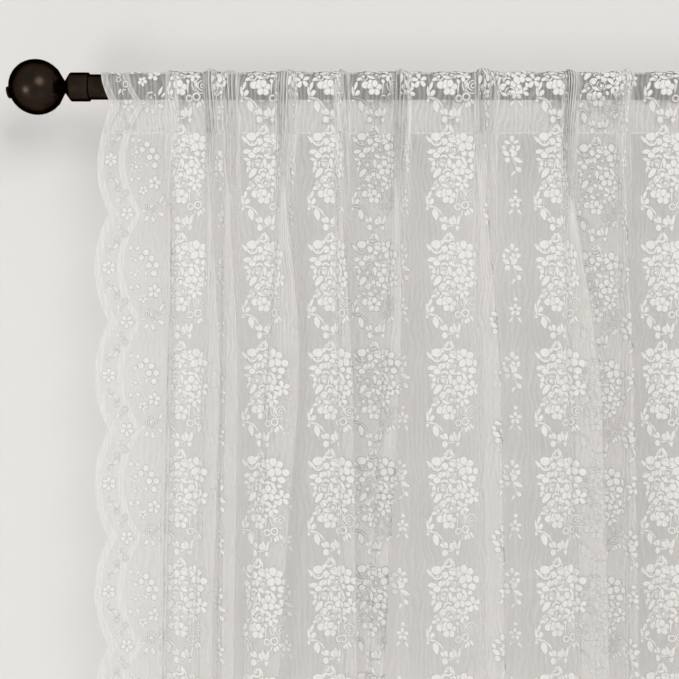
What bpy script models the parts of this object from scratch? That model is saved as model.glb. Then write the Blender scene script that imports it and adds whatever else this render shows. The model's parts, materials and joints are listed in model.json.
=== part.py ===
"""A lace valance gathered on a curtain rod with ball finials.

Metres, +Z up. The origin is the middle of the rod, on its axis, where its brackets carry it.
The rod runs along X and the front of the cloth faces -Y.

The cloth is one piece. From its bottom edge it hangs up to a line of stitches, passes in front of
the rod, over it and down behind it, and ends at the same stitches, which closes the rod pocket.
A place on the cloth has two flat coordinates: across, from the left edge, and down, measured along
the cloth from the fold on top of the rod. Down is negative on the pocket's back layer.
"""

import math
from collections import namedtuple

import bmesh
import bpy
import numpy as np
from mathutils import Matrix

MM = 0.001
FIT_GAP = 0.3 * MM  # between pieces that touch

# Rod and finials, all turned round the X axis
ROD_RADIUS = 11.0 * MM
ROD_HALF = 370.0 * MM
COLLAR_RADIUS = 12.6 * MM
COLLAR_LENGTH = 16.2 * MM
COLLAR_CONE = 5.2 * MM
PINCH_RADIUS = 5.3 * MM
THROAT_LENGTH = 6.4 * MM
BALL_RADIUS = 24.2 * MM
THROAT_RADIUS = 15.9 * MM
BUTTON_RADIUS = 5.2 * MM
BUTTON_LENGTH = 1.6 * MM
BUTTON_TILT = math.radians(11)
EDGE_BREAK = 0.5 * MM
TURN_STEPS = 32
BALL_STEPS = 14

# Cloth
SHEET = 1.0 * MM  # thickness
HUNG_HALF = 366.0 * MM
DROP = 600.0 * MM  # from the top of the pocket to the bottom edge
STITCH_DROP = 40.5 * MM  # from the rod's axis down to the stitches
SEAM_THICK = 1.8 * MM
SEAM_TIP = 0.9 * MM  # how far behind the front surface the pocket ends
SCALLOP_PITCH = 95.0 * MM
SCALLOP_DEPTH = 12.5 * MM
FIRST_NOTCH = 38.0 * MM  # along the cloth from the top fold
TOP_PULL = 6.0 * MM  # how far the gathers draw the side edges in, at the rod
EDGE_COLUMN = 26.0 * MM  # the first straight column of the mesh beside the scallops
OUTLINE_STEP = 15.9 * MM

LOOP_STEP = math.pi / 4
LOOP_RADIUS = (ROD_RADIUS + FIT_GAP) / math.cos(LOOP_STEP / 2) + SHEET / 2
QUARTER = LOOP_RADIUS * math.pi / 2
SIDE_RUN = math.hypot(LOOP_RADIUS, STITCH_DROP)
STITCH = QUARTER + SIDE_RUN
HEM = STITCH + DROP - LOOP_RADIUS - STITCH_DROP

# Each bunch of small pleats at the pocket opens below the stitches into one fold, whose crest lies over
# to the right. Its columns: where it sits along the rod at the pocket and at the bottom edge, how much
# cloth it takes up, how wide it hangs at the pocket and at the bottom edge, how far it stands forward,
# and how far the calm cloth after it bows forward. All in millimetres.
Fold = namedtuple("Fold", "at low_at taken top low deep bow")
FOLDS = (
    Fold(-298, -302, 17, 11, 17, 8, 5),
    Fold(-263, -270, 36, 11, 19, 10, 0),
    Fold(-246, -250, 34, 15, 19, 9, -5),
    Fold(-197, -218, 62, 18, 34, 13, 6),
    Fold(-148, -140, 28, 13, 18, 8, 0),
    Fold(-97, -119, 33, 16, 21, 9, 7),
    Fold(-22, -14, 42, 21, 27, 11, 6),
    Fold(52, 69, 56, 13, 24, 10, 0),
    Fold(100, 110, 22, 14, 19, 10, -5),
    Fold(164, 162, 54, 18, 32, 13, 6),
    Fold(230, 234, 52, 17, 31, 12, -5),
    Fold(297, 299, 54, 18, 32, 12, 5),
)
FLAT_WIDTH = 2 * HUNG_HALF + sum(fold.taken for fold in FOLDS) * MM
PLEATS_IN_BUNCH = 2
PLEAT_DEEP = 0.12  # of the bunch's hung width
BUNCH_RISE = 2.4 * MM  # how far a bunch stands out beneath its pleats
# How far below the stitches the pleats fade, the fold comes forward, and it lies over in full
FADE_RUN = 50.0 * MM
RISE_RUN = 60.0 * MM
OVER_RUN = 240.0 * MM
LAYER_GAP = 0.3  # between the layers of a fold, of how far it stands forward
ROUNDINGS = 3
CALM_STEPS = 8

# Where the mesh has columns in the calm cloth beside a fold, as shares of it
SHORT_CALM_NODES = (0.5,)
LONG_CALM_NODES = (0.33, 0.67)
LEAST_CALM = 6.0 * MM  # narrower calm cloth has no column of its own
LONG_CALM = 35.0 * MM

# How far the folds stand out round the pocket, beside the skirt. Columns: along the cloth, share.
STAND_OUT = (
    (-STITCH, -1.0),
    (-STITCH + SIDE_RUN / 2, 0.1),
    (-QUARTER, 0.7),
    (-QUARTER / 2, 0.6),
    (0.0, 0.5),
    (QUARTER / 2, 0.8),
    (QUARTER, 1.0),
    (STITCH, 1.0),
)
SKIRT_ROWS = (
    HEM,
    FIRST_NOTCH + 4 * SCALLOP_PITCH,
    FIRST_NOTCH + 2 * SCALLOP_PITCH,
    FIRST_NOTCH + 1.5 * SCALLOP_PITCH,
    FIRST_NOTCH + SCALLOP_PITCH,
    FIRST_NOTCH + 0.5 * SCALLOP_PITCH,
)
LOOP_ROWS = (
    STITCH - SIDE_RUN / 2,
    QUARTER,
    QUARTER / 2,
    0.0,
    -QUARTER / 2,
    -QUARTER,
    -STITCH + SIDE_RUN / 2,
)

LACE = (0.86, 0.85, 0.82, 0.75, 0.0)  # red, green, blue, roughness, metallic
BRONZE = (0.018, 0.013, 0.010, 0.38, 0.6)


def clear_scene():
    for thing in list(bpy.data.objects):
        bpy.data.objects.remove(thing, do_unlink=True)


def material(name, finish):
    red, green, blue, roughness, metallic = finish
    made = bpy.data.materials.new(name)
    made.use_nodes = True
    shader = made.node_tree.nodes["Principled BSDF"]
    shader.inputs["Base Color"].default_value = (red, green, blue, 1)
    shader.inputs["Roughness"].default_value = roughness
    shader.inputs["Metallic"].default_value = metallic
    return made


def add_object(name, mesh_maker, finish):
    """Makes an object from a bmesh that mesh_maker fills."""
    shape = bmesh.new()
    mesh_maker(shape)
    bmesh.ops.recalc_face_normals(shape, faces=shape.faces)
    mesh = bpy.data.meshes.new(name)
    shape.to_mesh(mesh)
    shape.free()
    mesh.materials.append(finish)
    made = bpy.data.objects.new(name, mesh)
    bpy.context.collection.objects.link(made)
    return made


# ---- the rod and its finials ----


def turned(profile):
    """A mesh maker that spins a profile of (along, radius) points, which starts and ends on the axis."""

    def make(shape):
        points = [shape.verts.new((along, 0, radius)) for along, radius in profile]
        edges = [shape.edges.new(pair) for pair in zip(points, points[1:])]
        bmesh.ops.spin(
            shape,
            geom=points + edges,
            cent=(0, 0, 0),
            axis=(1, 0, 0),
            angle=2 * math.pi,
            steps=TURN_STEPS,
            use_merge=True,
        )
        bmesh.ops.remove_doubles(shape, verts=shape.verts, dist=1e-6)

    return make


def smooth(made, degrees=40):
    made.data.shade_smooth()
    made.data.set_sharp_from_angle(angle=math.radians(degrees))


def add_rod(finish):
    profile = (
        (-ROD_HALF, 0),
        (-ROD_HALF, ROD_RADIUS - EDGE_BREAK),
        (-ROD_HALF + EDGE_BREAK, ROD_RADIUS),
        (ROD_HALF - EDGE_BREAK, ROD_RADIUS),
        (ROD_HALF, ROD_RADIUS - EDGE_BREAK),
        (ROD_HALF, 0),
    )
    smooth(add_object("rod_bar", turned(profile), finish))


def collar_profile():
    """The collar's length runs outwards along +X from the rod's end."""
    return (
        (0, 0),
        (0, COLLAR_RADIUS - EDGE_BREAK),
        (EDGE_BREAK, COLLAR_RADIUS),
        (COLLAR_LENGTH - EDGE_BREAK, COLLAR_RADIUS),
        (COLLAR_LENGTH + EDGE_BREAK, COLLAR_RADIUS - EDGE_BREAK),
        (COLLAR_LENGTH + COLLAR_CONE, PINCH_RADIUS),
        (COLLAR_LENGTH + COLLAR_CONE, 0),
    )


def throat_profile():
    """The cone from the pinch, at 0, to the ball's flat side."""
    return (
        (0, 0),
        (0, PINCH_RADIUS),
        (THROAT_LENGTH, THROAT_RADIUS),
        (THROAT_LENGTH, 0),
    )


def ball_profile():
    """A ball round 0, cut flat where the throat meets it."""
    start = math.asin(THROAT_RADIUS / BALL_RADIUS)
    arc = [start + (math.pi - start) * step / BALL_STEPS for step in range(BALL_STEPS)]
    round_side = [(-BALL_RADIUS * math.cos(a), BALL_RADIUS * math.sin(a)) for a in arc]
    return [(round_side[0][0], 0), *round_side, (BALL_RADIUS, 0)]


def button_profile():
    return (
        (0, 0),
        (0, BUTTON_RADIUS),
        (BUTTON_LENGTH - EDGE_BREAK, BUTTON_RADIUS),
        (BUTTON_LENGTH, BUTTON_RADIUS - EDGE_BREAK),
        (BUTTON_LENGTH, 0),
    )


def add_finial(side_name, side, finish):
    """One finial, carried by an empty at the rod's end. side is 1 at the right end and -1 at the left."""
    holder = bpy.data.objects.new("finial_" + side_name, None)
    bpy.context.collection.objects.link(holder)
    holder.location = (side * ROD_HALF, 0, 0)
    holder.rotation_euler = (0, 0, 0 if side > 0 else math.pi)

    throat_start = FIT_GAP + COLLAR_LENGTH + COLLAR_CONE + FIT_GAP
    ball_face = throat_start + THROAT_LENGTH + FIT_GAP
    ball_centre = ball_face + math.sqrt(BALL_RADIUS**2 - THROAT_RADIUS**2)
    pieces = (
        ("collar", collar_profile(), FIT_GAP),
        ("throat", throat_profile(), throat_start),
        ("ball", ball_profile(), ball_centre),
    )
    for name, profile, along in pieces:
        piece = add_object(f"finial_{name}_{side_name}", turned(profile), finish)
        piece.parent = holder
        piece.location = (along, 0, 0)
        smooth(piece)

    button = add_object(f"finial_button_{side_name}", turned(button_profile()), finish)
    button.parent = holder
    reach = Matrix.Translation((BALL_RADIUS + FIT_GAP, 0, 0))
    tilt = Matrix.Rotation(BUTTON_TILT, 4, "Y")
    button.matrix_local = Matrix.Translation((ball_centre, 0, 0)) @ tilt @ reach
    smooth(button)


# ---- the cloth's shape ----


def ease(share):
    """0 to 1, level at both ends."""
    share = min(max(share, 0.0), 1.0)
    return share * share * (3 - 2 * share)


def fold_place(fold, down):
    """A fold's start along the rod, its hung width and its cloth, at this height."""
    fall = ease((down - STITCH) / (HEM - STITCH))
    hung = (fold.top + (fold.low - fold.top) * fall) * MM
    centre = (fold.at + (fold.low_at - fold.at) * fall) * MM
    return centre - hung / 2, hung, hung + fold.taken * MM


def fold_corners(hung, deep, tip, laid):
    """The fold's line before it is rounded: up to the crest, back beneath it, and out along the bottom.

    tip is how far along the crest ends when it lies over in full, and laid is how much of that it has.
    """
    gap = LAYER_GAP * deep
    crest = 0.35 * hung * (1 - laid) + tip * laid
    back = 0.65 * hung * (1 - laid) + 0.45 * deep * laid
    bend = gap * laid
    slope = 0.06 * hung * (1 - laid)
    corners = (
        (0, 0),
        (0.1 * deep, 0),
        (0.35 * deep, 0.65 * deep),
        (crest - bend - slope, deep),
        (crest, deep),
        (crest + slope, deep - gap),
        (crest - bend + 2 * slope, deep - gap),
        (back + bend - 2 * slope, gap),
        (back - slope, gap),
        (back, 0),
        (back + bend + slope, 0),
        (hung, 0),
    )
    return np.array(corners)


def rounded(corners):
    """Cuts the corners again and again, which keeps the middle of each straight on the line."""
    for _ in range(ROUNDINGS):
        near = 0.75 * corners[:-1] + 0.25 * corners[1:]
        far = 0.25 * corners[:-1] + 0.75 * corners[1:]
        cut = np.stack([near, far], axis=1).reshape(-1, 2)
        corners = np.concatenate([corners[:1], cut[1:-1], corners[-1:]])
    return corners


def lengths(line):
    return np.hypot(*np.diff(line, axis=0).T)


def fold_curve(fold, down):
    """Points across one fold from its own start: shares of its cloth, place along the rod and depth."""
    _, hung, cloth = fold_place(fold, down)
    deep = fold.deep * MM
    below = down - STITCH
    tips = (hung, 2 * hung)
    taken_up = [lengths(rounded(fold_corners(hung, deep, tip, 1.0))).sum() for tip in tips]
    slope = (tips[1] - tips[0]) / (taken_up[1] - taken_up[0])
    tip = tips[0] + (cloth - taken_up[0]) * slope
    steps = lengths(rounded(fold_corners(hung, deep, tip, 1.0)))
    share = np.concatenate(([0.0], np.cumsum(steps))) / steps.sum()

    risen = ease(below / RISE_RUN)
    laid = ease(below / OVER_RUN)
    line = rounded(fold_corners(hung, deep * risen, tip, laid))
    faded = ease(below / FADE_RUN)
    along = hung * share * (1 - faded) + line[:, 0] * faded
    pleats = PLEAT_DEEP * hung * np.sin(PLEATS_IN_BUNCH * math.pi * share) ** 2
    bunch = BUNCH_RISE * np.sin(math.pi * share) ** 2 + pleats
    return share, along, line[:, 1] + bunch * (1 - faded)


def fold_nodes(share):
    """The mesh's columns on a fold, as shares of its cloth: the middle of each straight it was made of."""
    straight = 2**ROUNDINGS
    return share[straight:-straight:straight]


def section(down):
    """The cloth's line at one height: flat place across, place along the rod, and depth forward."""
    loose = ease((down - STITCH) / OVER_RUN)
    calm_share = np.arange(CALM_STEPS) / CALM_STEPS
    swell = loose * np.sin(math.pi * calm_share) ** 2
    stretches = []
    flat_end, end, bow = 0.0, -HUNG_HALF, 0.0
    for fold in FOLDS:
        start, hung, cloth = fold_place(fold, down)
        calm = start - end
        stretches.append((flat_end + calm * calm_share, end + calm * calm_share, bow * swell))
        share, along, depth = fold_curve(fold, down)
        flat_end += calm
        stretches.append((flat_end + share[:-1] * cloth, start + along[:-1], depth[:-1]))
        flat_end += cloth
        end = start + hung
        bow = fold.bow * MM
    stretches.append(([flat_end, FLAT_WIDTH], [end, HUNG_HALF], [0.0, 0.0]))
    return [np.concatenate(column) for column in zip(*stretches)]


def section_path(down):
    """The cloth's way round the rod where it has no fold: its (y, z), and which way is out."""
    if down >= STITCH:
        return 0.0, -STITCH_DROP - (down - STITCH), -1.0, 0.0
    face = 1 if down >= 0 else -1
    reach = abs(down)
    if reach <= QUARTER:
        turn = reach / LOOP_RADIUS
        out_y, out_z = -face * math.sin(turn), math.cos(turn)
        return LOOP_RADIUS * out_y, LOOP_RADIUS * out_z, out_y, out_z
    share = (reach - QUARTER) / SIDE_RUN
    return -face * LOOP_RADIUS * (1 - share), -STITCH_DROP * share, -face, 0.0


def sheet_points(across, down):
    """Places on the cloth's middle surface, for many places across at one height."""
    flat, along, depth = section(down)
    x = np.interp(across, flat, along)
    out = np.interp(across, flat, depth) * np.interp(down, *zip(*STAND_OUT))
    y, z, out_y, out_z = section_path(down)
    from_side = np.minimum(across, FLAT_WIDTH - across)
    near_side = np.clip(1 - from_side / SCALLOP_PITCH, 0, 1) ** 2
    pull = TOP_PULL * near_side * (1 - ease(abs(down) / (STITCH + SCALLOP_PITCH)))
    x = x - np.sign(x) * pull
    return np.stack([x, y + out_y * out, z + out_z * out], axis=1)


def skin_points(across, down, lift):
    """Places that lie lift outside the middle surface, along its normal."""
    across = np.asarray(across, float)
    step = 0.4 * MM
    side_way = sheet_points(across + step, down) - sheet_points(across - step, down)
    down_way = sheet_points(across, down + step) - sheet_points(across, down - step)
    normal = np.cross(down_way, side_way)
    normal /= np.linalg.norm(normal, axis=1)[:, None]
    return sheet_points(across, down) + lift * normal


def outline(down):
    """How far the scalloped side edge lies in from the widest point of its scallops, as arcs."""
    from_notch = (abs(down) - FIRST_NOTCH) % SCALLOP_PITCH
    from_crown = from_notch - SCALLOP_PITCH / 2
    half = SCALLOP_PITCH / 2
    radius = (half**2 + SCALLOP_DEPTH**2) / (2 * SCALLOP_DEPTH)
    return radius - math.sqrt(radius**2 - from_crown**2)


def columns(down):
    """The places across of the mesh's straight columns, which follow the folds down."""
    found = [EDGE_COLUMN]
    flat_end = EDGE_COLUMN
    end, top_end = EDGE_COLUMN - HUNG_HALF, EDGE_COLUMN - HUNG_HALF
    for fold in FOLDS:
        start, hung, cloth = fold_place(fold, down)
        calm = start - end
        top_start, top_hung, _ = fold_place(fold, 0.0)
        top_calm = top_start - top_end
        if top_calm > LEAST_CALM:
            nodes = LONG_CALM_NODES if top_calm > LONG_CALM else SHORT_CALM_NODES
            found.extend(flat_end + calm * share for share in nodes)
        flat_end += calm
        found.append(flat_end)
        share, _, _ = fold_curve(fold, down)
        found.extend(flat_end + cloth * fold_nodes(share))
        flat_end += cloth
        found.append(flat_end)
        end, top_end = start + hung, top_start + top_hung
    found.append(FLAT_WIDTH - EDGE_COLUMN)
    return found


# ---- the cloth's solid ----


def ring_rows():
    """The rows of the outer and the inner ring, as (down, lift) pairs in order round the section.

    The outer ring runs up the front, over the rod, down the back of the pocket and on down the back
    of the skirt. The inner ring lines the pocket, and starts at its tip, at the stitches.
    """
    half = SHEET / 2
    outer = [(down, half) for down in (*SKIRT_ROWS, STITCH, *LOOP_ROWS)]
    outer.append((STITCH, half - SEAM_THICK))
    outer.extend((down, -half) for down in reversed(SKIRT_ROWS))
    inner = [(STITCH, half - SEAM_TIP)]
    inner.extend((down, -half) for down in LOOP_ROWS)
    return outer, inner


def between(start, end):
    """Heights from start to end, both included, at most OUTLINE_STEP apart."""
    steps = max(1, round(abs(end - start) / OUTLINE_STEP))
    return [start + (end - start) * step / steps for step in range(steps + 1)]


def side_verts(shape, ring, right):
    """The scalloped edge along one ring: for each pair of rows, its corners from row to row."""

    def corner(down, lift):
        across = FLAT_WIDTH - outline(down) if right else outline(down)
        return shape.verts.new(skin_points([across], down, lift)[0])

    rows = [corner(down, lift) for down, lift in ring]
    found = []
    for index, (down, lift) in enumerate(ring):
        following = (index + 1) % len(ring)
        next_down, next_lift = ring[following]
        # Heights on the pocket's back are negative, and the stitches are at both ends of that scale
        start = -down if down == STITCH and next_down < 0 else down
        end = -next_down if next_down == STITCH and down < 0 else next_down
        heights = between(start, end)
        shares = [step / (len(heights) - 1) for step in range(len(heights))]
        middle = [
            corner(height, lift + (next_lift - lift) * share)
            for height, share in zip(heights[1:-1], shares[1:-1])
        ]
        found.append([rows[index], *middle, rows[following]])
    return found


def ring_skin(shape, ring):
    """Adds one closed skin and returns its scalloped edges, left and right."""
    verts = [
        [shape.verts.new(point) for point in skin_points(columns(down), down, lift)]
        for down, lift in ring
    ]
    for index, (down, _) in enumerate(ring):
        following = (index + 1) % len(ring)
        # Both skins of the skirt are cut into triangles from the lower row, so that they stay parallel
        if STITCH <= down < ring[following][0]:
            join(shape, verts[following], verts[index])
        else:
            join(shape, verts[index], verts[following])
    sides = []
    for right in (False, True):
        edges = side_verts(shape, ring, right)
        for index, edge in enumerate(edges):
            column = -1 if right else 0
            fan(shape, edge, verts[index][column], verts[(index + 1) % len(ring)][column])
        sides.append(edges)
    return sides


def join(shape, row, following):
    """Two triangles for each pair of neighbours along two rows of equal length."""
    for a, b, c, d in zip(row, row[1:], following[1:], following):
        shape.faces.new((a, b, c))
        shape.faces.new((a, c, d))


def fan(shape, edge, low, high):
    """Triangles between a run of corners and the two ends, low and high, of one straight edge."""
    half = len(edge) // 2
    for index, (a, b) in enumerate(zip(edge, edge[1:])):
        shape.faces.new((a, b, low if index < half else high))
    shape.faces.new((edge[half], high, low))


def close_side(shape, outer, inner):
    """Closes one end of the sheet between its two skins, from the bottom edge round the pocket."""
    skirt = len(SKIRT_ROWS)
    tip = inner[0][0]
    for index in range(skirt):
        front = outer[index]
        back = list(reversed(outer[-2 - index]))
        if index < skirt - 1:
            join(shape, front, back)
        else:
            join(shape, front[:-1], back[:-1])
            shape.faces.new((front[-2], front[-1], tip))
            shape.faces.new((front[-2], tip, back[-2]))
            shape.faces.new((tip, back[-1], back[-2]))
    for outside, inside in zip(outer[skirt:], inner):
        if len(outside) != len(inside):
            raise ValueError("the two skins of the pocket have different edges")
        join(shape, outside, inside)


def cloth_mesh(shape):
    outer, inner = ring_rows()
    outer_sides = ring_skin(shape, outer)
    inner_sides = ring_skin(shape, inner)
    for outside, inside in zip(outer_sides, inner_sides):
        close_side(shape, outside, inside)


def main():
    clear_scene()
    bronze = material("bronze", BRONZE)
    lace = material("lace", LACE)
    add_rod(bronze)
    add_finial("left", -1, bronze)
    add_finial("right", 1, bronze)
    add_object("valance_cloth", cloth_mesh, lace)


main()
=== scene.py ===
"""The lace of a rod-pocket valance, on the frame of its rod, finials and plain cloth solid."""

import json
import math
from collections import namedtuple

import bpy
import numpy as np
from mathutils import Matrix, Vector

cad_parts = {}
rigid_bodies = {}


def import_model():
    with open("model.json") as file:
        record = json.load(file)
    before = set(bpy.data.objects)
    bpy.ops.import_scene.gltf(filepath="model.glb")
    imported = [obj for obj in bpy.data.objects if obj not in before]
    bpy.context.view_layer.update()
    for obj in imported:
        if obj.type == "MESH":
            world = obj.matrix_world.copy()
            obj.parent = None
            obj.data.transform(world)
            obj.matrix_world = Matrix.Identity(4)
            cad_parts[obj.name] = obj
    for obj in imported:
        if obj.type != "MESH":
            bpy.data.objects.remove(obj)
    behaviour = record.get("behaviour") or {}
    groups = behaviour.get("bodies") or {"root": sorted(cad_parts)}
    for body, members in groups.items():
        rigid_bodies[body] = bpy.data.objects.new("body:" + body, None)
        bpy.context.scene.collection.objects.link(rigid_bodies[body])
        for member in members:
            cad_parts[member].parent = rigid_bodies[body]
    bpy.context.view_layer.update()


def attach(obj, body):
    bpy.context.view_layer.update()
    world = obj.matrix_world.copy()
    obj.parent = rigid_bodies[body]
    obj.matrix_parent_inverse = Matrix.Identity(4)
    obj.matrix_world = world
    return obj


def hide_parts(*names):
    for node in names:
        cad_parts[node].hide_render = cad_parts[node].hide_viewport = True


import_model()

MM = 0.001

# Sizes that the solids have
BALL_PLACE = 416.94 * MM  # of a finial ball's middle, along the rod
LOOP_RADIUS = 12.55 * MM  # of the cloth round the rod
HUNG_HALF = 366.0 * MM
DROP = 600.0 * MM  # from the top of the pocket to the bottom edge
STITCH_DROP = 40.5 * MM  # from the rod's axis down to the stitches
SCALLOP_PITCH = 95.0 * MM
SCALLOP_DEPTH = 12.5 * MM
SCALLOPS_DOWN = 7  # enough to reach the bottom edge from the first notch
FIRST_NOTCH = 38.0 * MM  # along the cloth from the top fold
TOP_PULL = 6.0 * MM  # how far the gathers draw the side edges in, at the rod
QUARTER = LOOP_RADIUS * math.pi / 2
SIDE_RUN = math.hypot(LOOP_RADIUS, STITCH_DROP)
STITCH = QUARTER + SIDE_RUN
HEM = STITCH + DROP - LOOP_RADIUS - STITCH_DROP

# Each bunch of gathers at the pocket opens below the stitches into one fold, whose crest lies over to
# the right. Columns, in millimetres: place along the rod at the pocket and at the bottom edge, cloth
# taken up, hung width at the pocket and at the bottom edge, how far the fold stands forward, and how
# far the calm cloth after it bows forward.
Fold = namedtuple("Fold", "at low_at taken top low deep bow")
FOLDS = (
    Fold(-298, -302, 17, 11, 17, 8, 5),
    Fold(-263, -270, 36, 11, 19, 10, 0),
    Fold(-246, -250, 34, 15, 19, 9, -5),
    Fold(-197, -218, 62, 18, 34, 13, 6),
    Fold(-148, -140, 28, 13, 18, 8, 0),
    Fold(-97, -119, 33, 16, 21, 9, 7),
    Fold(-22, -14, 42, 21, 27, 11, 6),
    Fold(52, 69, 56, 13, 24, 10, 0),
    Fold(100, 110, 22, 14, 19, 10, -5),
    Fold(164, 162, 54, 18, 32, 13, 6),
    Fold(230, 234, 52, 17, 31, 12, -5),
    Fold(297, 299, 54, 18, 32, 12, 5),
)
FLAT_WIDTH = 2 * HUNG_HALF + sum(fold.taken for fold in FOLDS) * MM
BUNCH_RISE = 2.4 * MM  # how far a bunch stands out beneath its gathers
GATHER_PITCH = 14.0 * MM  # of cloth in each gather
GATHER_DEEP = 3.8 * MM
GATHER_LEAN = 1.35 * MM
SLOW_WAVE = 27.0 * MM  # of cloth, in the slight waves between the folds
QUICK_WAVE = 15.5 * MM
# Below the stitches: the gathers fade, the bunch fades, the fold rises, and its crest lies over
GATHER_RUN = 85.0 * MM
FADE_RUN = 50.0 * MM
RISE_RUN = 60.0 * MM
OVER_RUN = 240.0 * MM
LAYER_GAP = 0.3  # between the layers of a fold, of how far it stands forward
ROUNDINGS = 3
CALM_STEPS = 8  # points across each stretch of calm cloth
CALM_COLUMN = 4.2 * MM  # between the columns of the net's mesh where it is calm
FOLD_COLUMN = 1.42 * MM
EDGE_RUN = 26.0 * MM  # over which the columns close up to follow a scalloped side
LEAST_OUT = -0.6 * MM  # how far the pocket's cloth may go in toward the rod
# How much of its depth the cloth shows on its way round the rod. Columns: place down the cloth, and the
# share, which turns over behind the rod so that back and front meet at the stitches.
STAND_OUT = (
    (-STITCH, -1.0),
    (-STITCH + SIDE_RUN / 2, 0.1),
    (-QUARTER, 0.7),
    (-QUARTER / 2, 0.6),
    (0.0, 0.5),
    (QUARTER / 2, 0.8),
    (QUARTER, 1.0),
    (STITCH, 1.0),
)
HEM_TURN = 12.0 * MM  # of the bottom edge, turned up and double
HEM_START = 2.0 * MM  # over which it becomes double

# Cover of the net: the share of light that one flat layer of it stops
NET_COVER = 0.23
MOST_LAYERS = 8.0  # the densest gathers count as this many layers
POCKET_LAYERS = 1.8  # the cloth is drawn closer together round the rod
BAND_COVER = 0.42
CORD_COVER = 0.62
CREASE_COVER = 0.55
CREASE_HALF = 1.8 * MM  # of cloth, on each side of a fold's turn
CREASE_LIFT = 0.06 * MM
CREASE_STEP = 8.0 * MM
RIDGE_COVER = 0.6
RIDGE_HALF = 2.0 * MM  # of cloth, on each side of a small gather's ridge
RIDGE_LIFT = 0.1 * MM
RIDGE_END = STITCH + 0.7 * GATHER_RUN
RIDGE_FADE = 45.0 * MM  # above that end
RIDGE_ROWS = 40
NEAR_ROD = QUARTER + 10 * MM
NEAR_ROD_COVER = 0.92  # of a figure's body, where the cloth is drawn close round the rod
STITCH_COVER = 0.42
BAND_LIFT = 0.07  # millimetres above the net
BAND_LAYER = 0.03  # between a band and the cords on it
STITCH_LIFTS = (0.1, 0.35, 0.1)  # millimetres, across the line of stitches

# How many layers the cloth counts as near the rod. Columns: place down from the top fold, layers
DRAWN_CLOSE = (
    (0.0, POCKET_LAYERS),
    (QUARTER + 12 * MM, POCKET_LAYERS),
    (STITCH, 1.2),
    (STITCH + 20 * MM, 1.0),
)

# Cover of the figures. Columns: at the rim, and over the body.
Thread = namedtuple("Thread", "rim body")
BOUQUET_THREAD = Thread(0.44, 0.78)
FAINT_THREAD = Thread(0.22, 0.62)
SPRIG_THREAD = Thread(0.42, 0.74)
BORDER_THREAD = Thread(0.38, 0.64)
BODY_FROM = 0.6  # the cover above which a place is a figure's body
RIM_SHADE_COVERS = (0.44, 0.62)  # covers between which the outline's painted shade turns into the body's colour

# The weave's own unevenness, in lengths of cloth
RIPPLE_PITCH = 4.3 * MM
RIPPLE_DRIFT = 3.4  # how many ripples they wander sideways
DRIFT_SIZE = (16.0 * MM, 34.0 * MM)  # across and down
MOTTLE_SIZE = (9.0 * MM, 26.0 * MM)
RIPPLE_SHARE = 0.6  # of the tone, and the rest is the mottle
THREAD_PITCH = 1.1 * MM
ONE_WAVE = 0.314159  # the scale at which a wave texture has one band in each unit

# Lace figures
LOW_LIFT = 0.12  # millimetres above the net at a figure's edge
HIGH_LIFT = 0.3
LAY_LIFT = 0.2  # between overlapping petals, which lie in turn on one of LAY_TURNS levels
LAY_TURNS = 5
RISEN_SHARE = 0.72  # how far out a petal's body reaches toward its edge
SIDE_CLEAR = 0.4 * MM  # a figure that would come nearer to the cloth's edge is left out
HEM_CLEAR = 1.5 * MM
BOUQUET_GROWTH = 1.42  # of each petal and thread about its own middle
HEART_GROWTH = 1.3
SPRIG_GROWTH = 1.25
SPRIG_SCALE = 1.22  # of the whole figure
BUD_GROWTH = 1.2
BUD_SCALE = 1.3
BORDER_GROWTH = 1.3
REPEATS = range(-5, 7)  # enough to reach from the back stitches to the bottom edge
BOUQUET_DOWN = 284.0 * MM  # a bouquet's centre, along the cloth from the top fold
SPRIG_DOWN = 92.4 * MM
BUD_DOWN = 133.7 * MM
BUD_ASIDE = 3.0 * MM  # to the right of the sprigs above it
HEART_DOWN = 14.0 * MM  # flowers between the bouquets, in front of the rod
HEART_HALF = 15.0  # millimetres of the bouquet's chart, above and below its middle
# Columns of figures, in millimetres: the place along the rod where one shows half way down the skirt, the
# layer of cloth it is on there, counted along the cloth, how far it is shifted down, and whether its
# thread is fainter
Column = namedtuple("Column", "at layer shift faint", defaults=(0, 0, False))
BOUQUET_COLUMNS = (
    Column(-285),
    Column(-216),
    Column(-154),
    Column(-116, faint=True),
    Column(-50),
    Column(45),
    Column(80, shift=10, faint=True),
    Column(139),
    Column(180),
    Column(238, layer=-1),
    Column(311, layer=1),
)
SPRIG_COLUMNS = (
    Column(-256, shift=2),
    Column(-200, layer=-1),
    Column(-98, shift=-11),
    Column(-9, shift=-50),
    Column(1, shift=-11),
    Column(103, shift=-45),
    Column(177, layer=1),
    Column(224),
    Column(273),
)


def ease(share):
    """0 to 1, level at both ends."""
    share = min(max(share, 0.0), 1.0)
    return share * share * (3 - 2 * share)


# ---- the hung cloth's surface ----


def fold_place(fold, down):
    """A fold's start along the rod, its hung width and its cloth, at this height."""
    fall = ease((down - STITCH) / (HEM - STITCH))
    hung = (fold.top + (fold.low - fold.top) * fall) * MM
    centre = (fold.at + (fold.low_at - fold.at) * fall) * MM
    return centre - hung / 2, hung, hung + fold.taken * MM


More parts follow.
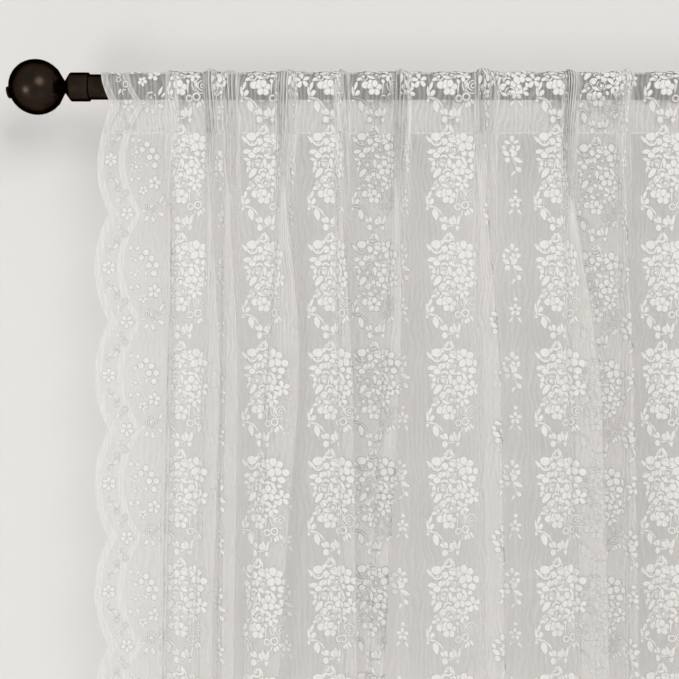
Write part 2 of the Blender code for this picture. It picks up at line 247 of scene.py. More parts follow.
def fold_corners(hung, deep, tip, laid):
    """The fold's line before it is rounded: up to the crest, back beneath it, and out along the bottom."""
    gap = LAYER_GAP * deep
    crest = 0.35 * hung * (1 - laid) + tip * laid
    back = 0.65 * hung * (1 - laid) + 0.45 * deep * laid
    bend = gap * laid
    slope = 0.06 * hung * (1 - laid)
    corners = (
        (0, 0),
        (0.1 * deep, 0),
        (0.35 * deep, 0.65 * deep),
        (crest - bend - slope, deep),
        (crest, deep),
        (crest + slope, deep - gap),
        (crest - bend + 2 * slope, deep - gap),
        (back + bend - 2 * slope, gap),
        (back - slope, gap),
        (back, 0),
        (back + bend + slope, 0),
        (hung, 0),
    )
    return np.array(corners)


def rounded(corners):
    """Cuts the corners again and again, which keeps the middle of each straight on the line."""
    for _ in range(ROUNDINGS):
        near = 0.75 * corners[:-1] + 0.25 * corners[1:]
        far = 0.25 * corners[:-1] + 0.75 * corners[1:]
        cut = np.stack([near, far], axis=1).reshape(-1, 2)
        corners = np.concatenate([corners[:1], cut[1:-1], corners[-1:]])
    return corners


def lengths(line):
    return np.hypot(*np.diff(line, axis=0).T)


def fold_curve(fold, down):
    """Points across one fold from its own start: shares of its cloth, place along the rod and depth."""
    _, hung, cloth = fold_place(fold, down)
    deep = fold.deep * MM
    below = down - STITCH
    tips = (hung, 2 * hung)
    taken_up = [lengths(rounded(fold_corners(hung, deep, tip, 1.0))).sum() for tip in tips]
    slope = (tips[1] - tips[0]) / (taken_up[1] - taken_up[0])
    tip = tips[0] + (cloth - taken_up[0]) * slope
    steps = lengths(rounded(fold_corners(hung, deep, tip, 1.0)))
    share = np.concatenate(([0.0], np.cumsum(steps))) / steps.sum()

    risen = ease(below / RISE_RUN)
    laid = ease(below / OVER_RUN)
    line = rounded(fold_corners(hung, deep * risen, tip, laid))
    faded = ease(below / FADE_RUN)
    along = hung * share * (1 - faded) + line[:, 0] * faded
    bunch = BUNCH_RISE * np.sin(math.pi * share) ** 2
    return share, along, line[:, 1] + bunch * (1 - faded)


def fold_spans(down):
    """Each fold at one height: the calm cloth before it, its flat start, its start along the rod, its
    hung width and its cloth."""
    flat_end, end = 0.0, -HUNG_HALF
    for fold in FOLDS:
        start, hung, cloth = fold_place(fold, down)
        calm = start - end
        flat_end += calm
        yield fold, calm, flat_end, start, hung, cloth
        flat_end += cloth
        end = start + hung


def section(down):
    """The cloth's line at one height: flat place across, place along the rod, depth and gathering."""
    loose = ease((down - STITCH) / OVER_RUN)
    calm_share = np.arange(CALM_STEPS) / CALM_STEPS
    swell = loose * np.sin(math.pi * calm_share) ** 2
    stretches = []
    bow = 0.0
    for fold, calm, flat, start, hung, cloth in fold_spans(down):
        before = calm * (calm_share - 1)
        stretches.append((flat + before, start + before, bow * swell, 0 * calm_share))
        share, along, depth = fold_curve(fold, down)
        gathered = np.sin(math.pi * share[:-1]) ** 0.5
        stretches.append((flat + share[:-1] * cloth, start + along[:-1], depth[:-1], gathered))
        flat_end, end = flat + cloth, start + hung
        bow = fold.bow * MM
    stretches.append(([flat_end, FLAT_WIDTH], [end, HUNG_HALF], [0.0, 0.0], [0.0, 0.0]))
    return [np.concatenate(column) for column in zip(*stretches)]


def cloth_at(column):
    """The flat place across of a column of figures, found from where it shows along the rod."""
    flat, along, _, _ = section((STITCH + HEM) / 2)
    past = along - column.at * MM
    step = np.nonzero(past[:-1] * past[1:] <= 0)[0][column.layer]
    share = past[step] / (past[step] - past[step + 1])
    return flat[step] + share * (flat[step + 1] - flat[step])


def section_path(down):
    """The cloth's way round the rod where it has no fold: its (y, z), and which way is out."""
    if down >= STITCH:
        return 0.0, -STITCH_DROP - (down - STITCH), -1.0, 0.0
    face = 1 if down >= 0 else -1
    reach = abs(down)
    if reach <= QUARTER:
        turn = reach / LOOP_RADIUS
        out_y, out_z = -face * math.sin(turn), math.cos(turn)
        return LOOP_RADIUS * out_y, LOOP_RADIUS * out_z, out_y, out_z
    share = (reach - QUARTER) / SIDE_RUN
    return -face * LOOP_RADIUS * (1 - share), -STITCH_DROP * share, -face, 0.0


def gather_turns(across, down):
    """How many small gathers lie to the left of a place, uneven and a little slanted."""
    wander = 0.5 * np.sin(across / (23 * MM)) + 0.25 * np.sin(across / (11 * MM) + 1)
    slant = 0.8 * np.sin(across / (37 * MM) + 0.6) * (down / (45 * MM))
    return across / GATHER_PITCH + wander + slant


def fine_gathers(across, down):
    """The bunches' small gathers and the calm cloth's slow waves, at one height.

    Returns the gathers' depth, how far they lean along the rod, and the waves' depth.
    """
    held = 1 - ease((down - STITCH) / GATHER_RUN)
    turns = gather_turns(across, down)
    deep = GATHER_DEEP * (0.7 + 0.3 * np.sin(across / (17 * MM)))
    gathers = held * deep * np.sin(math.pi * turns) ** 2
    lean = held * GATHER_LEAN * np.sin(2 * math.pi * turns + 0.9)
    loose = 0.35 + 0.65 * ease((down - STITCH) / OVER_RUN)
    drift = 0.5 * math.sin(down / (140 * MM))
    slow = np.sin(2 * math.pi * across / SLOW_WAVE + drift)
    quick = np.sin(2 * math.pi * across / QUICK_WAVE + 2 * drift + 2)
    return gathers, lean, loose * MM * (0.6 * slow + 0.3 * quick)


def sheet_points(across, down):
    """Places on the cloth, for many places across at one height."""
    flat, along, depth, gathered = section(down)
    x = np.interp(across, flat, along)
    gathers, lean, waves = fine_gathers(across, down)
    bunched = np.interp(across, flat, gathered)
    x = x + lean * bunched
    out = np.interp(across, flat, depth) + gathers * bunched
    out = (out + waves) * np.interp(down, *zip(*STAND_OUT))
    y, z, out_y, out_z = section_path(down)
    if down < STITCH:
        out = np.maximum(out, LEAST_OUT) if abs(down) < QUARTER + SIDE_RUN / 2 else out
    from_side = np.minimum(across, FLAT_WIDTH - across)
    near_side = np.clip(1 - from_side / SCALLOP_PITCH, 0, 1) ** 2
    pull = TOP_PULL * near_side * (1 - ease(abs(down) / (STITCH + SCALLOP_PITCH)))
    x = x - np.sign(x) * pull
    return np.stack([x, y + out_y * out, z + out_z * out], axis=1)


def outline(down):
    """How far the scalloped side edge lies in from the widest point of its scallops, as arcs."""
    from_notch = (np.abs(down) - FIRST_NOTCH) % SCALLOP_PITCH
    from_crown = from_notch - SCALLOP_PITCH / 2
    half = SCALLOP_PITCH / 2
    radius = (half**2 + SCALLOP_DEPTH**2) / (2 * SCALLOP_DEPTH)
    return radius - np.sqrt(radius**2 - from_crown**2)


class Surface:
    """The hung cloth as a grid, from which any place on it is read."""

    ACROSS_STEP = 0.5 * MM
    POCKET_STEPS = 50
    SKIRT_STEPS = 110

    def __init__(self):
        pocket = np.linspace(-STITCH, STITCH, self.POCKET_STEPS + 1)
        skirt = np.linspace(STITCH, HEM, self.SKIRT_STEPS + 1)
        self.downs = np.concatenate([pocket, skirt[1:]])
        self.acrosses = np.arange(0, FLAT_WIDTH + self.ACROSS_STEP, self.ACROSS_STEP)
        self.points = np.stack([sheet_points(self.acrosses, down) for down in self.downs])
        side_way = np.gradient(self.points, axis=1)
        down_way = np.gradient(self.points, axis=0)
        normals = np.cross(down_way, side_way)
        self.normals = normals / np.linalg.norm(normals, axis=2)[..., None]
        hung_step = np.abs(side_way[..., 0])
        crowding = self.ACROSS_STEP / np.maximum(hung_step, self.ACROSS_STEP / MOST_LAYERS)
        blurred = (np.roll(crowding, 1, axis=1) + 2 * crowding + np.roll(crowding, -1, axis=1)) / 4
        self.layers = blurred * np.interp(np.abs(self.downs), *zip(*DRAWN_CLOSE))[:, None]

    def _read(self, grid, across, down):
        column = np.clip(across / self.ACROSS_STEP, 0, len(self.acrosses) - 1.001)
        row = np.interp(down, self.downs, np.arange(len(self.downs)))
        row = np.clip(row, 0, len(self.downs) - 1.001)
        left, top = column.astype(int), row.astype(int)
        right_share, low_share = column - left, row - top
        if grid.ndim == 3:
            right_share, low_share = right_share[..., None], low_share[..., None]
        upper = grid[top, left] * (1 - right_share) + grid[top, left + 1] * right_share
        lower = grid[top + 1, left] * (1 - right_share) + grid[top + 1, left + 1] * right_share
        return upper * (1 - low_share) + lower * low_share

    def place(self, across, down, lift):
        """Points that lie lift in front of the cloth's middle, in metres."""
        normal = self._read(self.normals, across, down)
        normal /= np.linalg.norm(normal, axis=-1)[..., None]
        return self._read(self.points, across, down) + normal * np.asarray(lift)[..., None]

    def cover(self, across, down, flat_cover):
        """The share of light the crowded cloth stops, where one flat layer of it stops flat_cover."""
        layers = self._read(self.layers, across, down)
        return 1 - (1 - flat_cover) ** np.minimum(layers, MOST_LAYERS)


SURFACE = Surface()


# ---- objects ----


def add_object(name, content):
    made = bpy.data.objects.new(name, content)
    bpy.context.collection.objects.link(made)
    return made


def add_smooth(name, points, faces, finish):
    mesh = bpy.data.meshes.new(name)
    mesh.from_pydata(points, [], faces)
    mesh.update()
    mesh.shade_smooth()
    mesh.materials.append(finish)
    return add_object(name, mesh)


def add_cloth(name, faces, finish, across, down, lift, cover):
    """Cloth that lies lift in front of these flat places, which are its UV map, with its cover."""
    made = add_smooth(name, SURFACE.place(across, down, lift).tolist(), faces, finish)
    mesh = made.data
    layer = mesh.uv_layers.new(name="OFBake")
    corner_verts = np.zeros(len(mesh.loops), dtype=np.int32)
    mesh.loops.foreach_get("vertex_index", corner_verts)
    flat = np.stack([across / FLAT_WIDTH, (down + STITCH) / FLAT_WIDTH], axis=1)
    layer.data.foreach_set("uv", flat[corner_verts].astype(np.float32).ravel())
    layer = mesh.attributes.new("cover", "FLOAT", "POINT")
    layer.data.foreach_set("value", cover.astype(np.float32))
    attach(made, "root")
    return made


def grid_faces(rows, columns):
    corner = np.arange(rows * columns).reshape(rows, columns)
    quads = (corner[:-1, :-1], corner[1:, :-1], corner[1:, 1:], corner[:-1, 1:])
    return np.stack(quads, axis=-1).reshape(-1, 4).tolist()


class Laid:
    """Strips or figures laid on the net, collected to be joined into one piece of their finish."""

    def __init__(self):
        self.places = []
        self.faces = []
        self.count = 0

    def add(self, across, down, lift, cover, faces, turned):
        """Adds places on the cloth with their faces. turned is for those mirrored to the right side."""
        places = [np.broadcast_to(value, across.shape).ravel() for value in (across, down, lift, cover)]
        self.places.append(places)
        way = -1 if turned else 1
        self.faces.extend([corner + self.count for corner in face[::way]] for face in faces)
        self.count += across.size

    def make(self, name):
        joined = [np.concatenate(part) for part in zip(*self.places)]
        return add_cloth(name, self.faces, self.finish, *joined)


# ---- materials ----


class Nodes:
    """A short way to add shader nodes and join them."""

    def __init__(self, name):
        self.material = bpy.data.materials.new(name)
        self.material.use_nodes = True
        self.tree = self.material.node_tree
        self.shader = self.tree.nodes["Principled BSDF"]

    def add(self, kind, inputs=(), **settings):
        node = self.tree.nodes.new(kind)
        for key, value in settings.items():
            setattr(node, key, value)
        for key, value in dict(inputs).items():
            self.fill(node.inputs[key], value)
        return node

    def fill(self, socket, value):
        if hasattr(value, "is_output"):
            self.tree.links.new(value, socket)
        else:
            socket.default_value = value

    def math(self, operation, first, second):
        return self.add("ShaderNodeMath", {0: first, 1: second}, operation=operation).outputs[0]

    def vectors(self, operation, inputs):
        return self.add("ShaderNodeVectorMath", inputs, operation=operation).outputs[0]

    def noise(self, vector, scale, detail):
        inputs = {"Vector": vector, "Scale": scale, "Detail": detail}
        return self.add("ShaderNodeTexNoise", inputs).outputs["Fac"]

    def wave(self, vector, direction, distortion):
        inputs = {"Vector": vector, "Scale": ONE_WAVE, "Distortion": distortion}
        return self.add("ShaderNodeTexWave", inputs, bands_direction=direction).outputs["Fac"]

    def mapped(self, value, start, end, low, high):
        inputs = {"Value": value, "From Min": start, "From Max": end, "To Min": low, "To Max": high}
        return self.add("ShaderNodeMapRange", inputs).outputs["Result"]

    def to_shader(self, name, value):
        self.fill(self.shader.inputs[name], value)

    def blend_colours(self, share, first, second):
        node = self.add("ShaderNodeMix", data_type="RGBA")
        sockets = {socket.name: socket for socket in node.inputs if socket.enabled}
        for key, value in (("Factor", share), ("A", first), ("B", second)):
            self.fill(sockets[key], (*value, 1) if isinstance(value, tuple) else value)
        return [socket for socket in node.outputs if socket.enabled][0]

    def set(self, **values):
        for key, value in values.items():
            self.shader.inputs[key.replace("_", " ")].default_value = value


def flat_place(nodes, across, down):
    """The flat cloth's coordinates, stretched so that one unit is across and down, in metres."""
    uv = nodes.add("ShaderNodeUVMap", uv_map="OFBake").outputs["UV"]
    scale = (FLAT_WIDTH / across, FLAT_WIDTH / down, 1)
    return nodes.add("ShaderNodeMapping", {"Vector": uv, "Scale": scale}).outputs["Vector"]


def lace_material(name, light, dark, cover_spread, bump, rim=None):
    """Woven net or figure. cover_spread is how much the ripples of the weave change its cover.

    rim is a painted shade for the outlines, where the cover is low, standing in for the shadows round each
    petal and thread.
    """
    nodes = Nodes(name)
    drift = nodes.noise(flat_place(nodes, *DRIFT_SIZE), 1.0, 1.0)
    place = flat_place(nodes, RIPPLE_PITCH, 1.0)
    aside = nodes.math("MULTIPLY", drift, RIPPLE_DRIFT)
    bent = nodes.add("ShaderNodeCombineXYZ", {"X": aside}).outputs[0]
    ripple = nodes.wave(nodes.vectors("ADD", {0: place, 1: bent}), "X", 0.0)
    mottle = nodes.noise(flat_place(nodes, *MOTTLE_SIZE), 1.0, 2.0)
    rippled = nodes.math("MULTIPLY", ripple, RIPPLE_SHARE)
    tone = nodes.math("ADD", rippled, nodes.math("MULTIPLY", mottle, 1 - RIPPLE_SHARE))
    colour = nodes.blend_colours(tone, dark, light)
    cover = nodes.add("ShaderNodeAttribute", attribute_name="cover").outputs["Fac"]
    # painted shade: where the cover is low, the colour turns to rim, a dark outline standing in for the
    # shadows round the figures
    if rim:
        colour = nodes.blend_colours(nodes.mapped(cover, *RIM_SHADE_COVERS, 0.0, 1.0), rim, colour)
    nodes.to_shader("Base Color", colour)
    spread = nodes.mapped(tone, 0.15, 0.85, 1 - cover_spread, 1 + cover_spread)
    nodes.to_shader("Alpha", nodes.math("MULTIPLY", cover, spread))
    threads = nodes.wave(flat_place(nodes, THREAD_PITCH, THREAD_PITCH), "DIAGONAL", 0.6)
    raised = nodes.add("ShaderNodeBump", {"Height": threads, "Strength": bump, "Distance": 0.2 * MM})
    nodes.to_shader("Normal", raised.outputs["Normal"])
    nodes.set(Roughness=0.78, Specular_IOR_Level=0.25, Sheen_Weight=0.12, Sheen_Roughness=0.5)
    return nodes.material


def bronze_material(name, turned=False, middle=None):
    """Dark oil-rubbed bronze, a little browner and brighter where it is rubbed.

    Its shading is truly round about the rod's axis if turned, or about middle on a ball.
    """
    nodes = Nodes(name)
    geometry = nodes.add("ShaderNodeNewGeometry")
    place = geometry.outputs["Position"]
    patches = nodes.noise(place, 60.0, 4.0)
    colour = nodes.blend_colours(patches, (0.010, 0.007, 0.005), (0.048, 0.034, 0.025))
    nodes.to_shader("Base Color", colour)
    nodes.to_shader("Roughness", nodes.mapped(patches, 0.3, 0.7, 0.22, 0.32))
    inputs = {"Height": nodes.noise(place, 900.0, 2.0), "Strength": 0.12, "Distance": 0.1 * MM}
    if turned:
        spoke = nodes.vectors("NORMALIZE", {0: nodes.vectors("MULTIPLY", {0: place, 1: (0, 1, 1)})})
        along = nodes.add("ShaderNodeSeparateXYZ", {0: geometry.outputs["Normal"]}).outputs["X"]
        upright = nodes.math("SQRT", nodes.math("SUBTRACT", 1.0, nodes.math("MULTIPLY", along, along)), 0.0)
        round_part = nodes.vectors("SCALE", {0: spoke, "Scale": upright})
        end_part = nodes.add("ShaderNodeCombineXYZ", {"X": along}).outputs[0]
        inputs["Normal"] = nodes.vectors("ADD", {0: round_part, 1: end_part})
    elif middle:
        outward = nodes.vectors("SUBTRACT", {0: place, 1: middle})
        inputs["Normal"] = nodes.vectors("NORMALIZE", {0: outward})
    nodes.to_shader("Normal", nodes.add("ShaderNodeBump", inputs).outputs["Normal"])
    nodes.set(Metallic=1.0, Specular_Tint=(0.1, 0.08, 0.07, 1))
    return nodes.material


NET_FINISH = lace_material("lace_net", (0.88, 0.87, 0.85), (0.68, 0.67, 0.65), 0.13, 0.12)
# the figures' rim colour is a painted shade that darkens their outlines where their own shadows would fall
FIGURE_FINISH = lace_material(
    "lace_figure", (0.86, 0.855, 0.84), (0.80, 0.795, 0.78), 0.0, 0.3, rim=(0.36, 0.35, 0.33)
)
BAND_FINISH = lace_material("lace_band", (0.84, 0.83, 0.815), (0.74, 0.73, 0.715), 0.03, 0.25)


# ---- the net ----


def veil_columns():
    """Places across where the net's mesh has a column: close together in the folds."""
    found = []
    for _, calm, flat, _, _, cloth in fold_spans((STITCH + HEM) / 2):
        calm_count = max(2, round(calm / CALM_COLUMN))
        found.append(np.linspace(0, calm, calm_count, endpoint=False) + flat - calm)
        found.append(np.linspace(0, cloth, round(cloth / FOLD_COLUMN), endpoint=False) + flat)
        flat_end = flat + cloth
    found.append(np.linspace(flat_end, FLAT_WIDTH, round((FLAT_WIDTH - flat_end) / CALM_COLUMN)))
    return np.concatenate(found)


def rows_between(per_scallop, low, high):
    """Rows down the cloth between two places, with one at every notch."""
    steps = np.arange(-per_scallop, SCALLOPS_DOWN * per_scallop)
    rows = FIRST_NOTCH + SCALLOP_PITCH / per_scallop * steps
    return rows[(rows > low) & (rows < high)]


def with_pocket(pocket, skirt):
    """All rows from the back stitches to the bottom edge, with those of the pocket on both its sides."""
    return np.concatenate([[-STITCH], -pocket[::-1], [0.0], pocket, skirt, [HEM]])


def closed_up(from_side, edge):
    """Distances from a side, drawn together so that the first is at its scalloped edge."""
    return edge + from_side * (EDGE_RUN - edge) / EDGE_RUN


def add_veil():
    pocket = rows_between(32, 0, STITCH - MM)
    skirt = rows_between(16, STITCH + MM, HEM - MM)
    columns, rows = veil_columns(), with_pocket(pocket, [STITCH, *skirt])
    across, down = np.meshgrid(columns, rows)
    edge = outline(down)
    across = np.where(across < EDGE_RUN, closed_up(across, edge), across)
    from_right = FLAT_WIDTH - across
    across = np.where(from_right < EDGE_RUN, FLAT_WIDTH - closed_up(from_right, edge), across)
    across, down = across.ravel(), down.ravel()
    turned_up = np.clip((down - (HEM - HEM_TURN)) / HEM_START, 0, 1)
    cover = 1 - (1 - SURFACE.cover(across, down, NET_COVER)) ** (1 + turned_up)
    faces = grid_faces(len(rows), len(columns))
    return add_cloth("lace_net", faces, NET_FINISH, across, down, np.zeros(len(across)), cover)


# ---- bands and stitches, woven into the net ----


def band(down, at_crown, at_notch):
    """A line beside the scalloped edge: how far in it lies, in millimetres at the crown and at the notch."""
    return (at_crown + (at_notch - at_crown) * outline(down) / SCALLOP_DEPTH) * MM


class Strips(Laid):
    """Strips woven into the net."""

    finish = BAND_FINISH

    def lay(self, across, down, lift, cover, turned=False):
        self.add(across, down, lift, cover, grid_faces(*across.shape), turned)

    def lay_thread(self, middle, downs, half, lift, cover):
        """A thin line down the cloth, whose cover fades to nothing on both sides."""
        across = middle[:, None] + half * np.array([-1.0, -0.4, 0.4, 1.0])
        down = np.repeat(downs[:, None], 4, axis=1)
        self.lay(across, down, lift, cover[:, None] * np.array([0, 1, 1, 0]))


def add_bands():
    """The closely woven bands along both scalloped sides."""
    # Columns: start and end of the strip in from the widest outline at the crown, the same at the notch,
    # and its cover
    bands = (
        (0.0, 6.0, 12.5, 20.7, BAND_COVER),
        (0.0, 1.1, 12.5, 13.8, CORD_COVER),
        (4.9, 5.6, 19.3, 20.1, CORD_COVER),
        (19.8, 26.0, 37.4, 42.7, 1.2 * BAND_COVER),
        (20.2, 21.0, 38.0, 38.8, CORD_COVER),
        (25.0, 25.8, 41.6, 42.4, CORD_COVER),
    )
    rows = with_pocket(rows_between(24, 0, STITCH), rows_between(24, STITCH, HEM))
    shares = np.linspace(0, 1, 4)
    strips = Strips()
    for layer, (start, end, notch_start, notch_end, cover) in enumerate(bands):
        near, far = band(rows, start, notch_start), band(rows, end, notch_end)
        across = near[:, None] + (far - near)[:, None] * shares
        down = np.repeat(rows[:, None], len(shares), axis=1)
        lift = (BAND_LIFT + BAND_LAYER * (layer % 3)) * MM
        strips.lay(across, down, lift, cover)
        strips.lay(FLAT_WIDTH - across, down, lift, cover, turned=True)
    return strips.make("lace_bands")


def add_stitches():
    """The line of stitches that closes the pocket, and the one that holds the turned-up bottom edge."""
    columns = veil_columns()
    lift = np.array(STITCH_LIFTS)[:, None] * MM
    # Columns: place down the cloth, width and cover
    lines = ((STITCH, 1.5 * MM, STITCH_COVER), (HEM - HEM_TURN, 1.1 * MM, 0.6))
    strips = Strips()
    for middle, wide, cover in lines:
        inside = columns[(columns > outline(middle) + MM) & (columns < FLAT_WIDTH - outline(middle) - MM)]
        down, across = np.meshgrid(middle + wide * np.array([-0.5, 0, 0.5]), inside, indexing="ij")
        strips.lay(across, down, lift, cover)
    return strips.make("lace_stitches")


def fold_turns(down):
    """Where each fold's cloth turns back on itself at one height: flat places of its crest and its bend."""
    flat, along, _, _ = section(down)
    found = []
    for _, _, flat_start, _, _, cloth in fold_spans(down):
        inside = (flat >= flat_start) & (flat <= flat_start + cloth)
        across, x = flat[inside], along[inside]
        # the last quarter of the cloth may lie further right than the crest
        crest = int(np.argmax(x[: 3 * len(x) // 4]))
        bend = crest + int(np.argmin(x[crest:]))
        found.append((across[crest], across[bend]))
    return found


def add_creases():
    """The thin bright lines where the net is seen edge-on, at each fold's crest and bend."""
    downs = np.arange(STITCH + RISE_RUN, HEM - HEM_START, CREASE_STEP)
    turns = np.array([fold_turns(down) for down in downs])
    cover = CREASE_COVER * np.clip((downs - downs[0]) / RISE_RUN, 0, 1)
    strips = Strips()
    for middle in turns.reshape(len(downs), -1).T:
        strips.lay_thread(middle, downs, CREASE_HALF, CREASE_LIFT, cover)
    return strips.make("lace_creases")


def add_ridges():
    """The bright ridges of the small gathers, where the cloth of each is closest."""
    downs = np.linspace(-QUARTER, RIDGE_END, RIDGE_ROWS)
    cover = RIDGE_COVER * np.clip((RIDGE_END - downs) / RIDGE_FADE, 0, 1)
    strips = Strips()
    for _, _, start, _, _, cloth in fold_spans(STITCH):
        places = np.linspace(start + 2 * MM, start + cloth - 2 * MM, 120)
        turns = gather_turns(places, STITCH / 2)
        for ridge in range(math.ceil(turns[0] - 0.5), math.floor(turns[-1] - 0.5) + 1):
            middle = [np.interp(ridge + 0.5, gather_turns(places, down), places) for down in downs]
            strips.lay_thread(np.array(middle), downs, RIDGE_HALF, RIDGE_LIFT, cover)
    return strips.make("lace_ridges")


# ---- figures: drawn flat, x to the right and y down the cloth, in millimetres ----


def turned_to(points, at, toward):
    """Points drawn along +x, turned toward an angle in degrees, clockwise, and moved to at."""
    turn = math.radians(toward)
    cos, sin = math.cos(turn), math.sin(turn)
    return np.asarray(points) @ np.array([[cos, sin], [-sin, cos]]) + np.asarray(at, float)


def blob(outline_points):
    """A low cushion of thread with this outline, as (outline, None)."""
    return [(np.asarray(outline_points, float), None)]


def disc(at, radius, corners=10):
    turns = np.arange(corners) * 2 * math.pi / corners
    return blob(np.stack([np.cos(turns), np.sin(turns)], axis=1) * radius + at)


def petal(at, long, wide, toward, fat=0.25):
    """Round-ended petal with its root at at."""
    turns = np.arange(10) * 2 * math.pi / 10
    along = long / 2 * (1 - np.cos(turns))
    side = wide / 2 * np.sin(turns) * (1 - fat * np.cos(turns))
    return blob(turned_to(np.stack([along, side], axis=1), at, toward))


def leaf(at, long, wide, toward):
    """Pointed leaf with its root at at."""
    shares = np.array([0.0, 0.2, 0.45, 0.7, 0.9])
    half = wide / 2 * np.array([0.1, 0.75, 1.0, 0.72, 0.3])
    upper = np.stack([long * shares, half], axis=1)
    lower = np.stack([long * shares, -half], axis=1)[::-1]
    line = np.concatenate([upper, [[long, 0.0]], lower])
    return blob(turned_to(line, at, toward))


def line(points, wide, thin_ends=True):
    """A thread drawn through points, wide in the middle, as (points, half widths)."""
    points = np.asarray(points, float)
    half = np.full(len(points), wide / 2)
    if thin_ends:
        half[0] = half[-1] = wide / 6
    return [(points, half)]


def arc(at, radius, wide, start, sweep, steps=8, thin_ends=True, end_radius=None):
    turns = np.radians(start + sweep * np.arange(steps + 1) / steps)
    reach = np.linspace(radius, radius if end_radius is None else end_radius, steps + 1)
    points = np.stack([np.cos(turns), np.sin(turns)], axis=1) * reach[:, None] + at
    return line(points, wide, thin_ends)


def ring(at, radius, wide):
    return arc(at, radius, wide, 0, 360, 10, False)


def flower(at, reach, wide, turn=0.0, petals=5, heart=0.0, fat=0.25):
    """Petals round a small open middle. reach is from the middle to a petal's tip."""
    made = []
    inner = 0.2 * reach
    for index in range(petals):
        toward = turn + 360 * index / petals
        cos, sin = math.cos(math.radians(toward)), math.sin(math.radians(toward))
        root = (at[0] + inner * cos, at[1] + inner * sin)
        made += petal(root, reach - inner, wide, toward, fat)
    if heart:
        made += disc(at, heart, 6)
    return made


def rose(at, size, turn=0.0):
    """A round bud within two rounds of crescents."""
    made = disc(at, 0.27 * size, 8)
    made += arc(at, 0.55 * size, 0.28 * size, turn, 230, 8)
    for index in range(4):
        made += arc(at, 0.92 * size, 0.36 * size, turn + 40 + 90 * index, 78, 5)
    return made


def scroll(at, size, turn=0.0):
    return (
        arc(at, 0.25 * size, 0.16 * size, turn, 300, 8)
        + arc(at, 0.55 * size, 0.15 * size, turn + 60, 290, 12, end_radius=0.62 * size)
        + arc(at, 0.9 * size, 0.15 * size, turn + 40, 190, 9, end_radius=1.0 * size)
    )


def grown(figures, share):
    """The same figures, each larger about its own middle, so that they fill the ground between them."""
    made = []
    for points, half in figures:
        if half is None:
            middle = points.mean(axis=0)
            made.append((middle + (points - middle) * share, None))
        else:
            made.append((points, half * share))
    return made


def enlarged(figures, share):
    """The same drawing at a larger scale."""
    return [(points * share, half if half is None else half * share) for points, half in figures]


